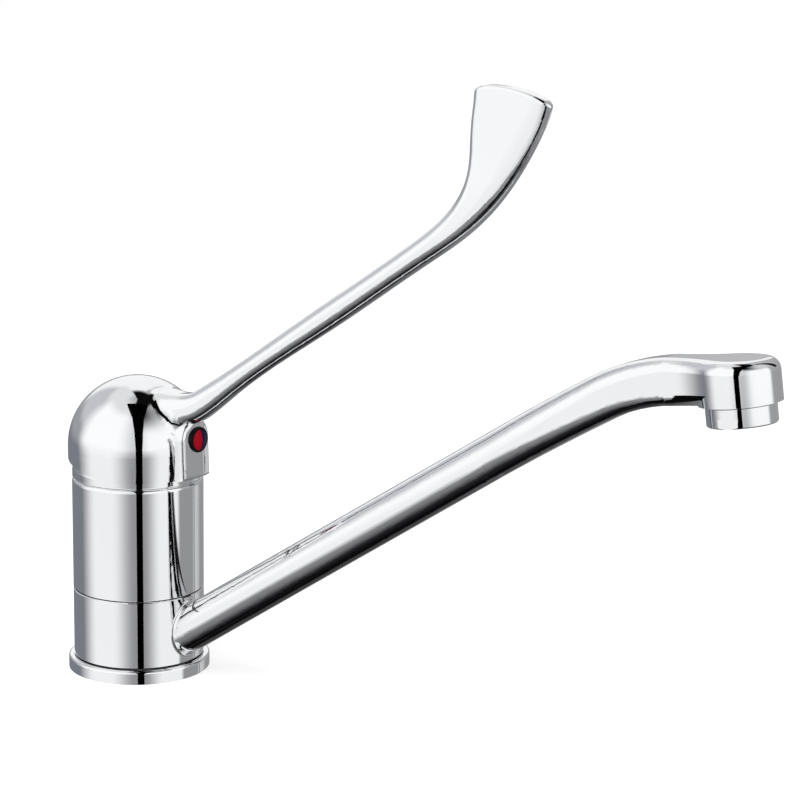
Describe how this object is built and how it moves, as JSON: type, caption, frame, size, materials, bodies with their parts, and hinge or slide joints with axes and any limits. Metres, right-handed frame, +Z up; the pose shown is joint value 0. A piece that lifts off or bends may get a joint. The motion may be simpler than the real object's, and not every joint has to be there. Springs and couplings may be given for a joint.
{
  "type": "elbow lever tap",
  "caption": "Deck-mounted mixer tap with a long elbow lever, a swivelling cast spout, a ceramic disc cartridge and a screw-in aerator.",
  "frame": {"origin": "middle of the foot's underside, at the mouth of the fixing stud's hole, on the axis that spout and lever turn about", "axes": "+Z up along the swivel axis, -Y along the spout and the lever, +X to the cold side"},
  "size_m": [0.0542, 0.2884, 0.2299],
  "materials": {
    "chrome": "mirror-bright plated finish",
    "brass": "machined",
    "steel": "turned",
    "black_rubber": "moulded",
    "slide_plastic": "moulded",
    "cartridge_plastic": "moulded",
    "grey_plastic": "moulded",
    "disc_ceramic": "lapped",
    "plug_plastic": "moulded",
    "red": "glossy",
    "blue": "glossy"
  },
  "bodies": {
    "base": {"mixer_body": "chrome", "base_flange": "chrome", "base_gasket": "black_rubber", "spout_slide_ring_lower": "slide_plastic", "spout_slide_ring_upper": "slide_plastic", "spout_o_ring_lower": "black_rubber", "spout_o_ring_upper": "black_rubber", "cartridge_base": "cartridge_plastic", "cartridge_port_seals": "black_rubber", "cartridge_disc_seals": "black_rubber", "fixed_ceramic_disc": "disc_ceramic", "cartridge_housing": "cartridge_plastic", "cartridge_nut": "brass", "bonnet_ring": "chrome"},
    "swivel_spout": {"spout": "chrome", "aerator_housing": "chrome", "aerator_insert": "grey_plastic", "aerator_screen": "steel", "aerator_washer": "black_rubber"},
    "turret": {"cartridge_turret": "grey_plastic", "spindle_pin": "steel"},
    "lever_arm": {"lever": "chrome", "spindle": "steel", "lever_grub_screw": "steel", "indicator_plug": "plug_plastic", "hot_mark": "red", "cold_mark": "blue"},
    "disc_slider": {"disc_carrier": "grey_plastic", "moving_ceramic_disc": "disc_ceramic"}
  },
  "joints": [
    {"name": "spout_swivel", "type": "hinge", "parent": "base", "child": "swivel_spout", "pos_m": [0, 0, 0.018], "axis": [0, 0, 1], "continuous": true},
    {"name": "lever_turn", "type": "hinge", "parent": "base", "child": "turret", "pos_m": [0, 0, 0.0745], "axis": [0, 0, 1], "range_deg": [-50, 50]},
    {"name": "lever_tilt", "type": "hinge", "parent": "turret", "child": "lever_arm", "pos_m": [0, 0, 0.0745], "axis": [-1, 0, 0], "range_deg": [0, 25]},
    {"name": "disc_slide", "type": "slide", "parent": "turret", "child": "disc_slider", "axis": [0, -1, 0], "range_m": [0, 0.00697]}
  ],
  "couplings": [
    {"joint": "disc_slide", "follows": "lever_tilt", "m_per_rad": 0.015981}
  ]
}
